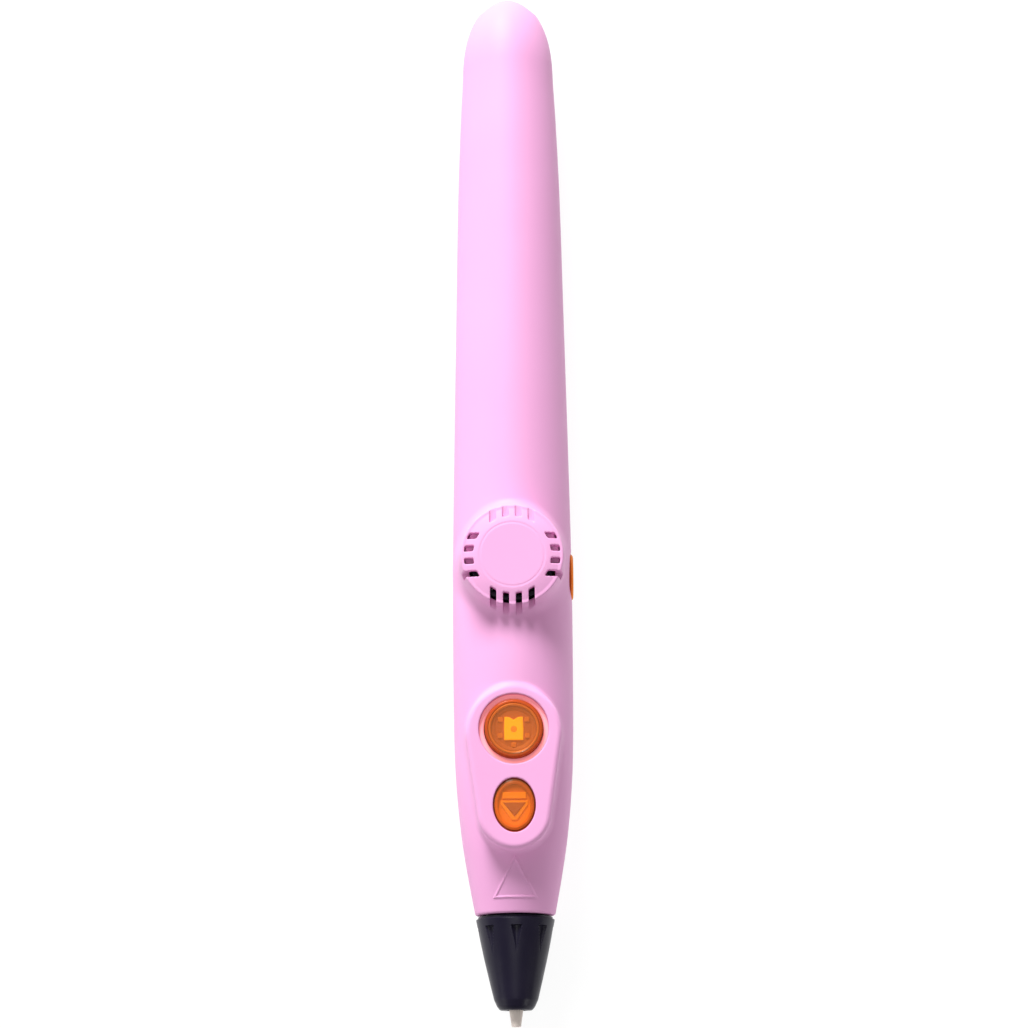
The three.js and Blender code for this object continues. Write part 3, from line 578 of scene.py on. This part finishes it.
def graded(name, near, far, from_y, to_y):
    """Tinted plastic that goes from one colour to another along the pen, a painted shade that darkens it
    towards the tail.
    """
    n = Nodes(name)
    parts = n.add("ShaderNodeSeparateXYZ")
    n.link(n.place, parts.inputs["Vector"])
    share = n.span(parts.outputs["Y"], 0, 1, from_y, to_y)
    n.link(n.ramp(share, [(0, near), (1, far)]), n.shader.inputs["Base Color"])
    n.link(n.span(n.noise(900), 0.35, 0.45), n.shader.inputs["Roughness"])
    n.bump(n.noise(3000, 2), 0.2, 0.00003)
    return n.material


def board_material():
    """Solder mask with fine tracks that show as darker and paler lines."""
    n = Nodes("solder_mask")
    tracks = n.add("ShaderNodeTexBrick")
    tracks.inputs["Scale"].default_value = 900
    tracks.inputs["Mortar Size"].default_value = 0.03
    tracks.inputs["Color1"].default_value = (0.02, 0.13, 0.06, 1)
    tracks.inputs["Color2"].default_value = (0.025, 0.16, 0.075, 1)
    tracks.inputs["Mortar"].default_value = (0.06, 0.3, 0.15, 1)
    n.link(n.place, tracks.inputs["Vector"])
    n.link(tracks.outputs["Color"], n.shader.inputs["Base Color"])
    n.bump(tracks.outputs["Fac"], 0.3, 0.00003)
    n.link(n.span(n.noise(800), 0.3, 0.45), n.shader.inputs["Roughness"])
    return n.material


PINK, PINK_SHADE = (0.9, 0.43, 0.735), (0.885, 0.415, 0.715)
DULL = {"Specular_IOR_Level": 0.22}
MATERIALS = {
    "pink_shell": moulded("soft_pink_plastic", PINK, PINK_SHADE, 0.5, **DULL),
    "orange_cap": tinted_clear("clear_orange_plastic", (0.98, 0.78, 0.56), (0.7, 0.26, 0.08), 0.86),
    "amber_haze": moulded("amber_haze", (0.52, 0.25, 0.17), (0.42, 0.18, 0.12), 0.5, 2500, 0.35),
    # Painted glow: its emission makes the feed window brighter than the lamps light it.
    "amber_bright_painted_glow": moulded(
        "amber_bright_painted_glow", (1.0, 0.75, 0.06), (0.95, 0.62, 0.04), 0.4, 3000, 0.2,
        Emission_Color=(1.0, 0.58, 0.0, 1), Emission_Strength=0.7),
    # Painted glow: a faint emission brightens the gold dot and relief in both buttons.
    "amber_gold_painted_glow": moulded(
        "amber_gold_painted_glow", (1.0, 0.6, 0.08), (0.95, 0.5, 0.05), 0.4, 3000, 0.2,
        Emission_Color=(1.0, 0.45, 0.0, 1), Emission_Strength=0.15),
    "amber_mid": moulded("amber_mid", (0.75, 0.38, 0.15), (0.65, 0.3, 0.1), 0.45, 3000, 0.2),
    # Painted highlight: a paler amber for the feed ring, standing for light caught on the bevel at the
    # wall's edge.
    "amber_ring_painted_highlight": moulded("amber_ring_painted_highlight", (0.8, 0.42, 0.24), (0.7, 0.33, 0.17), 0.35, 3000, 0.15),
    # Painted shade: bright orange towards the nozzle, darker brown towards the tail.
    "amber_deep_painted_shade": graded("amber_deep_painted_shade", (1.0, 0.48, 0.07), (0.5, 0.2, 0.1), -0.0555, -0.0515),
    # Painted shade: bright orange towards the nozzle, dark red-brown towards the tail.
    "amber_rim_painted_shade": graded("amber_rim_painted_shade", (1.0, 0.36, 0.06), (0.42, 0.12, 0.05), -0.0575, -0.0515),
    "amber_skin": tinted_clear("amber_skin", (0.9, 0.46, 0.16), (0.62, 0.24, 0.06), 0.8),
    # Painted shade: a dark maroon for the liner in the gap round the retract cap.
    "maroon": moulded("maroon_painted_shade", (0.5, 0.08, 0.06), (0.42, 0.06, 0.05), 0.5, **DULL),
    "amber_edge": moulded("amber_edge", (0.6, 0.1, 0.02), (0.5, 0.07, 0.015), 0.4, 3000, 0.2),
    # Painted glow: the salmon colour and its emission stand for orange light from the clear cap falling on
    # the well round the feed button.
    "salmon": moulded(
        "salmon_painted_glow", (0.95, 0.4, 0.47), (0.9, 0.36, 0.43), 0.5,
        Emission_Color=(1.0, 0.3, 0.33, 1), Emission_Strength=0.3, **DULL),
    "amber_red": moulded("amber_red", (0.55, 0.1, 0.03), (0.42, 0.06, 0.02), 0.4, 3000, 0.2),
    "charcoal": moulded(
        "charcoal_plastic", (0.016, 0.013, 0.03), (0.011, 0.009, 0.022), 0.33, 6000, 0.15, **DULL),
    "ceramic": moulded("pale_ceramic", (0.93, 0.82, 0.74), (0.86, 0.75, 0.68), 0.55, 7000, 0.25),
    "steel": metal("brushed_steel", (0.62, 0.63, 0.65), (0.45, 0.46, 0.48), 0.3, (1, 0.05, 1)),
    "brass": metal("turned_brass", (0.72, 0.52, 0.2), (0.55, 0.38, 0.13), 0.28),
    "white_plastic": moulded("white_plastic", (0.82, 0.8, 0.76), (0.74, 0.72, 0.68), 0.5),
    "board": board_material(),
    "chip": moulded("chip_resin", (0.02, 0.02, 0.022), (0.012, 0.012, 0.013), 0.6, 5000, 0.3),
    "led": moulded("led_lens", (1.0, 0.8, 0.35), (0.9, 0.65, 0.2), 0.25),
    "cell_wrap": moulded("cell_wrap", (0.05, 0.17, 0.45), (0.04, 0.13, 0.38), 0.35),
    "ptfe": moulded("ptfe_tube", (0.85, 0.85, 0.82), (0.78, 0.78, 0.75), 0.4),
    "lead_red": moulded("red_lead", (0.5, 0.02, 0.015), (0.4, 0.015, 0.01), 0.45),
    "lead_black": moulded("black_lead", (0.015, 0.015, 0.016), (0.01, 0.01, 0.01), 0.45),
    "lead_white": moulded("white_lead", (0.75, 0.73, 0.68), (0.65, 0.62, 0.57), 0.5),
}


def finish_piece(obj, body_name, slot, *replaced, look=None):
    """Gives a new piece its material, its body and the CAD nodes it stands for."""
    obj.data.materials.clear()
    obj.data.materials.append(MATERIALS[look or slot])
    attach(obj, body_name)
    if replaced:
        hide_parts(*replaced)


def dress_cad_nodes():
    """Every carried-over CAD node takes the material of its slot."""
    for entry in frame["record"]["subparts"]:
        obj = NODES[entry["node"]]
        obj.data.materials.clear()
        obj.data.materials.append(MATERIALS[entry["material_slot"]])


# ---- Pieces ----
def build_shells():
    """Both halves of the casing, on grids that are finer where the detail is."""
    xs = spaced((-10.6, None), (-3.7, 0.17), (3.7, 0.12), (10.6, 0.17))
    stations = spaced(
        (17.2, None), (20, 0.2), (27.2, 0.12), (60, 0.2), (65, 0.6), (87, 0.16), (160, 1.0), (181, 0.35))
    levels = spaced((8.6, None), (20, 0.2), (26.2, 0.15))
    front = mesh_of("front_casing", front_shell_field, xs, stations, levels)
    crease(front, 50)
    finish_piece(front, "case", "pink_shell", "front_shell", "fan_cover")
    xs = spaced((-10.6, None), (10.6, 0.26))
    stations = spaced(
        (17.2, None), (31, 0.26), (66, 1.0), (84, 0.3), (138, 1.0), (148, 0.26), (164, 0.9), (181, 0.3))
    levels = spaced((-0.5, None), (9.5, 0.25))
    rear = mesh_of("rear_casing", rear_shell_field, xs, stations, levels)
    crease(rear, 50)
    finish_piece(rear, "case", "pink_shell", "rear_shell")


def layer(name, profile, body_name, look, place, axis="z", ratio=(1, 1)):
    """A turned layer of a button, under its clear cap."""
    obj = turned(name, profile, axis, place, ratio=ratio)
    crease(obj)
    finish_piece(obj, body_name, "orange_cap", look=look)


def plate_on(name, outline, body_name, look, station, low, high, bevel=0.1):
    """A flat-outlined plate in a button, under its clear cap."""
    obj = prism(name, outline, station, low, high, bevel)
    finish_piece(obj, body_name, "orange_cap", look=look)


def build_feed_button():
    """A clear skin over a red wall and a hazy core, with a bright window in its middle that glows with
    painted light, a paler ring that is a painted highlight, and a salmon liner in the well that glows with
    painted bounce light.
    """
    r, top = FEED_CAP_RADIUS, FEED_TOP
    place = (0, FEED_AT[1], 0)
    profile = [
        (4.8, 19), (5.7, 19), (5.7, 19.6), (r, 19.6), *arc((r - 0.5, top - 0.5), 0.5, 0, 90),
        (4.2, top - 0.02), (4.05, top - 0.14), (3.8, top - 0.16), (0, top - 0.1), (0, top - 0.3),
        (4.2, top - 0.34), (4.6, top - 0.45), (4.8, top - 0.75),
    ]
    cap = turned("feed_cap", profile, "z", place)
    crease(cap)
    finish_piece(cap, "feed_key", "orange_cap", "feed_button")
    # A salmon liner over the well's floor and wall; its glow is painted bounce light from the cap.
    liner = [
        (4.94, 19.9), (5.18, 19.9), (5.18, 20.95), (5.68, 20.95), (5.7, 21.08), (5.1, 21.04), (4.94, 20.9)]
    layer("feed_glow_liner", liner, "case", "salmon", place)
    wall = [
        (4.2, 19), (4.78, 19), (4.78, top - 0.78), (4.56, top - 0.49), (4.35, top - 0.45),
        (4.2, top - 0.7),
    ]
    layer("feed_wall", wall, "feed_key", "amber_edge", place)
    # A paler ring inside the feed cap, a painted highlight on the wall's top edge.
    ring = [
        (3.75, top - 1.2), (4.17, top - 1.2), (4.17, top - 0.5), (4.0, top - 0.4),
        (3.85, top - 0.46), (3.75, top - 0.7),
    ]
    layer("feed_highlight_ring", ring, "feed_key", "amber_ring_painted_highlight", place)
    core = [
        (0, 18.3), (1.4, 18.3), (1.4, 19), (3.7, 19), (3.7, top - 0.75), (3.2, top - 0.82),
        (3.05, top - 0.95), (0, top - 0.9),
    ]
    layer("feed_core", core, "feed_key", "amber_haze", place)
    # The window glows with painted light from its material's emission.
    window = [
        (-1.5, 1.95), (-0.75, 1.9), (0, 1.45), (0.75, 1.9), (1.5, 1.95), (1.6, 0), (1.55, -1.9),
        (-1.55, -1.9), (-1.6, 0)]
    plate_on("feed_window", window, "feed_key", "amber_bright_painted_glow", FEED_AT[1], top - 1.1, top - 0.6, 0.16)
    # The dot glows with painted light as well.
    dot = arc((0, -0.1), 0.55, 0, 345, 24)
    plate_on("feed_dot", dot, "feed_key", "amber_gold_painted_glow", FEED_AT[1], top - 0.7, top - 0.52, 0.1)
    for i, (x, y) in enumerate([(-2.2, 1.5), (2.2, 1.5), (-2.25, -1.2), (2.25, -1.2), (0, -2.7)]):
        pad = rounded_square(x, y, 0.42)
        plate_on(f"feed_pad_{i + 1}", pad, "feed_key", "amber_mid", FEED_AT[1], top - 1.1, top - 0.72)


def build_retract_button():
    """A clear oval skin over a core with a plain triangle and a bar in relief; the core and wall darken
    towards the tail as painted shade, the frame and bar glow with painted light, and a maroon liner stands
    for the shade in the hole.
    """
    ratio = RETRACT_HALF
    top = RETRACT_TOP
    place = (0, RETRACT_AT[1], 0)
    profile = [
        (0.98, 18.7), (1.14, 18.7), (1.14, 19.1), (1, 19.1), *arc((0.88, top - 0.45), 0.12, 0, 50, 4),
        (0.86, top - 0.16), (0.6, top - 0.04), (0, top), (0, top - 0.25), (0.8, top - 0.35),
        (0.98, top - 0.6),
    ]
    cap = turned("retract_cap", profile, "z", place, ratio=ratio)
    crease(cap)
    finish_piece(cap, "retract_key", "orange_cap", "retract_button")
    wall = [(0.8, 18.8), (0.97, 18.8), (0.97, top - 0.7), (0.88, top - 0.45), (0.8, top - 0.5)]
    # The wall darkens towards the tail as painted shade.
    layer("retract_wall", wall, "retract_key", "amber_rim_painted_shade", place, ratio=ratio)
    # A maroon liner in the hole, a dark sheet standing for the shade in the gap round the cap.
    low = island_top(RETRACT_AT[1] - 4.4)
    liner = [(1.012, 19.9), (1.042, 19.9), (1.042, low - 0.2), (1.03, low - 0.08), (1.012, low - 0.2)]
    layer("retract_shade_liner", liner, "case", "maroon", place, ratio=ratio)
    # The core darkens towards the tail as painted shade.
    core = [
        (0, 18.3), (0.35, 18.3), (0.35, 18.8), (0.79, 18.8), (0.79, top - 0.8), (0.7, top - 0.9),
        (0, top - 0.95),
    ]
    layer("retract_core", core, "retract_key", "amber_deep_painted_shade", place, ratio=ratio)
    frame_shape = [(-2.25, 0.75), (2.25, 0.75), (2.3, 0.1), (0.45, -2.55), (-0.45, -2.55), (-2.3, 0.1)]
    arrow = [(-1.85, 0.4), (1.85, 0.4), (0, -1.9)]
    bar = [(-1.95, 2.1), (1.95, 2.1), (1.95, 1.05), (-1.95, 1.05)]
    # The frame and bar glow with painted light from their material.
    relief = (
        ("frame", frame_shape, 0.72, "amber_gold_painted_glow"), ("arrow", arrow, 0.55, "amber_haze"),
        ("bar", bar, 0.62, "amber_gold_painted_glow"))
    station, foot = RETRACT_AT[1], top - 1.05
    for name, outline, depth, look in relief:
        plate_on(f"retract_{name}", outline, "retract_key", look, station, foot, top - depth, 0.14)


def build_side_button():
    """A round clear skin over a red core."""
    r, top = SIDE_RADIUS, SIDE_TOP
    place = (0, SIDE_AT[1], SIDE_AT[2])
    profile = [
        (3.85, 6.55), (4.5, 6.55), (4.5, 7.1), (r, 7.1), *arc((r - 0.7, top - 0.7), 0.7, 0, 80),
        (2.2, top), (0, top), (0, top - 0.3), (3, top - 0.32), (3.6, top - 0.5), (3.85, top - 0.8),
    ]
    cap = turned("side_cap", profile, "x", place)
    crease(cap)
    finish_piece(cap, "side_key", "orange_cap", "side_button", look="amber_skin")
    core = [
        (0, 6.55), (3.8, 6.55), (3.8, top - 0.85), (3.5, top - 0.55), (3.05, top - 0.42),
        (2.6, top - 0.42), (2.5, top - 0.6), (0, top - 0.55)]
    layer("side_core", core, "side_key", "amber_red", place, "x")


def build_shroud():
    """The nozzle cover, with eight scooped grips that fade towards the tip."""
    outline = [
        (2.4, 2.55), (2.5, 2.75), (3.0, 3.15), (4.1, 3.66), (7.5, 4.48), (10.8, 5.25), (14, 5.92),
        (16.9, 6.5), (17.25, 6.56), (17.32, 6.5), (17.4, 6.25), (17.7, 6.2),
    ]
    rows = spaced((2.4, None), (4.2, 0.15), (12.4, 0.5), (16.9, 0.1), (17.7, 0.04))
    radius = np.interp(rows, *np.array(outline).T)
    steps = 360
    angle = np.linspace(0, 2 * math.pi, steps, endpoint=False)
    grip_from, grip_to = 12.1, 16.0
    share = np.clip((rows - grip_from) / (grip_to - grip_from), 0, 1) * (rows <= grip_to)
    turn = (angle - math.radians(1.5) + math.pi / 8) % (math.pi / 4) - math.pi / 8
    lateral = np.abs(np.outer(radius, turn))
    half = np.maximum(0.88 * share, 1e-3)[:, None]
    scoop = 0.66 * share[:, None] ** 0.8 * np.sqrt(np.clip(1 - (lateral / half) ** 2, 0, 1))
    skin = radius[:, None] - scoop
    inside = [(17.7, 5.1), (15, 5.0), (4, 2.3), (3.6, 1.6), (2.4, 1.6)]
    rings = [(r, s) for r, s in zip(skin, rows)]
    rings += [(np.full(steps, r), s) for s, r in inside]
    points = np.concatenate([
        np.stack([r * np.sin(angle), np.full(steps, s), NOZZLE_Z + r * np.cos(angle)], 1)
        for r, s in rings])
    faces = []
    count = len(rings)
    for i in range(count):
        j = (i + 1) % count
        for k in range(steps):
            n = (k + 1) % steps
            faces.append((i * steps + k, i * steps + n, j * steps + n, j * steps + k))
    cover = make_mesh("nozzle_cover", points, faces)
    tidy(cover)
    crease(cover, 40)
    finish_piece(cover, "cover", "charcoal", "nozzle_shroud")


def build_tip():
    """The ceramic nozzle tip with its bore, its root inside the cover."""
    profile = [
        (0.35, -0.3), (0.62, -0.3), *arc((0.66, -0.16), 0.14, -70, 0, 4), (1.17, 2.4), (1.25, 4.2),
        (1.9, 4.9), (1.9, 8.6), (0.8, 8.6), (0.35, 6),
    ]
    tip = turned("ceramic_tip", profile, "y", (0, 0, NOZZLE_Z), 64)
    crease(tip)
    finish_piece(tip, "case", "ceramic", "nozzle_tip")


# ---- Stage ----
def build_stage():
    """A plain white floor, just below the pen's back."""
    mesh = bpy.data.meshes.new("floor")
    corners = [(3.0 * x, 3.0 * y, 0) for x, y in ((-1, -1), (1, -1), (1, 1), (-1, 1))]
    mesh.from_pydata(corners, [], [(0, 1, 2, 3)])
    floor = bpy.data.objects.new("floor", mesh)
    floor.location.z = -0.0002
    bpy.context.scene.collection.objects.link(floor)
    n = Nodes("floor")
    n.set(
        Base_Color=(0.12, 0.12, 0.12, 1), Roughness=0.9, Specular_IOR_Level=0.1,
        Emission_Color=(1, 1, 1, 1), Emission_Strength=0.93)
    floor.data.materials.append(n.material)


def area_light(name, place, size, power):
    """A round soft light that shines on the pen's middle."""
    light = bpy.data.lights.new(name, "AREA")
    light.shape = "DISK"
    light.size = size
    light.energy = power
    obj = bpy.data.objects.new(name, light)
    obj.location = place
    obj.rotation_euler = (-Vector(place)).to_track_quat("-Z", "Y").to_euler()
    bpy.context.scene.collection.objects.link(obj)


def build_lights():
    """A strong key light over the tail, weak lights round the nozzle end and a dim white sky."""
    area_light("key", (-0.4, 1.4, 0.96), 0.7, 48.0)
    area_light("side_left", (-1.15, 0.35, 0.6), 0.6, 1.5)
    area_light("fill", (-0.1, -0.2, 1.4), 0.9, 3.6)
    area_light("low_left", (-1.2, -0.8, 0.35), 0.5, 2.0)
    area_light("low_right", (1.0, -0.9, 0.4), 0.5, 1.7)
    world = bpy.data.worlds.new("studio")
    bpy.context.scene.world = world
    world.use_nodes = True
    background = world.node_tree.nodes["Background"]
    background.inputs["Color"].default_value = (1, 1, 1, 1)
    background.inputs["Strength"].default_value = 0.16


def build_camera():
    """Over the nozzle end, half a metre away, looking at a point just short of the middle."""
    elevation, distance, roll = math.radians(77), 0.5, math.radians(0.32)
    target = Vector((0, 0, 0.01))
    data = bpy.data.cameras.new("camera")
    data.sensor_width = 36
    data.lens = 102.1
    camera = bpy.data.objects.new("camera", data)
    camera.location = target + distance * Vector((0, -math.cos(elevation), math.sin(elevation)))
    aim = Vector((0.00038, -0.0038, 0.01))
    look = (aim - camera.location).to_track_quat("-Z", "Y").to_matrix()
    camera.rotation_euler = (look @ Matrix.Rotation(-roll, 3, "Z")).to_euler()
    bpy.context.scene.collection.objects.link(camera)
    bpy.context.scene.camera = camera
    bpy.context.scene.view_settings.view_transform = "Standard"


build_camera()
build_stage()
build_lights()
dress_cad_nodes()
build_shells()
build_feed_button()
build_retract_button()
build_side_button()
build_shroud()
build_tip()
